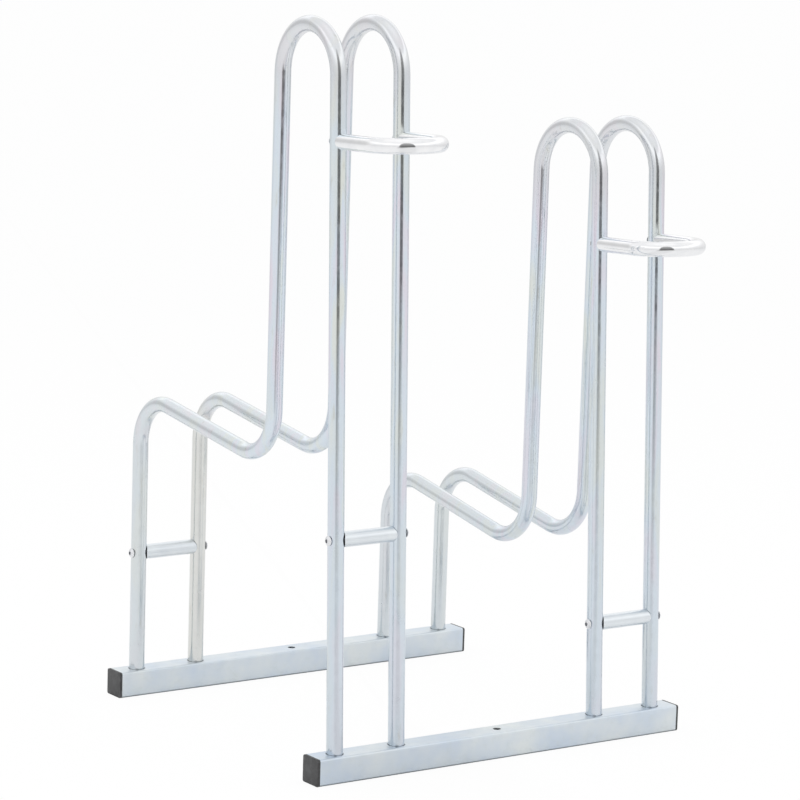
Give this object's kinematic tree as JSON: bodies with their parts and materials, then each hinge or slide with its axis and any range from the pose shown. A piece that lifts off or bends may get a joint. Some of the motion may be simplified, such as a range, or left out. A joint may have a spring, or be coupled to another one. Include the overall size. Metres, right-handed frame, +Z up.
{
  "type": "bike rack",
  "caption": "Floor bike rack: bent steel tube loops on square rails hold front wheels upright at a high and a low place, with guard hoops in front and capped rail ends.",
  "frame": {"origin": "on the floor, midway between the two floor fixing holes, which is the middle of the rails' footprint", "axes": "+X along the rails from the raised place towards the low one, +Y from the front of the rack, where the guard hoops are, to the rear, where the wheels come in, +Z up"},
  "size_m": [0.491, 0.5188, 0.8129],
  "materials": {
    "satin_zinc": "satin zinc plate",
    "bright_zinc": "bright zinc plate, smooth",
    "polished_plate": "polished plate",
    "screw_zinc": "bright zinc plate",
    "turned_steel": "turned, bare",
    "black_plastic": "moulded, slightly worn sheen"
  },
  "bodies": {
    "root": {"front_rail": "satin_zinc", "rear_rail": "satin_zinc", "front_left_end_cap": "black_plastic", "front_right_end_cap": "black_plastic", "rear_left_end_cap": "black_plastic", "rear_right_end_cap": "black_plastic", "tall_left_loop": "bright_zinc", "tall_right_loop": "bright_zinc", "low_left_loop": "bright_zinc", "low_right_loop": "bright_zinc", "tall_guard_hoop": "polished_plate", "low_guard_hoop": "polished_plate", "tall_front_crossbar": "bright_zinc", "tall_rear_crossbar": "bright_zinc", "low_front_crossbar": "bright_zinc", "tall_front_crossbar_inserts": "turned_steel", "tall_rear_crossbar_inserts": "turned_steel", "low_front_crossbar_inserts": "turned_steel", "tall_front_crossbar_screws": "screw_zinc", "tall_rear_crossbar_screws": "screw_zinc", "low_front_crossbar_screws": "screw_zinc", "tall_guard_hoop_inserts": "turned_steel", "low_guard_hoop_inserts": "turned_steel", "tall_guard_hoop_screws": "screw_zinc", "low_guard_hoop_screws": "screw_zinc", "front_foot_inserts": "turned_steel", "rear_foot_inserts": "turned_steel", "front_foot_screws": "screw_zinc", "rear_foot_screws": "screw_zinc"}
  },
  "joints": []
}
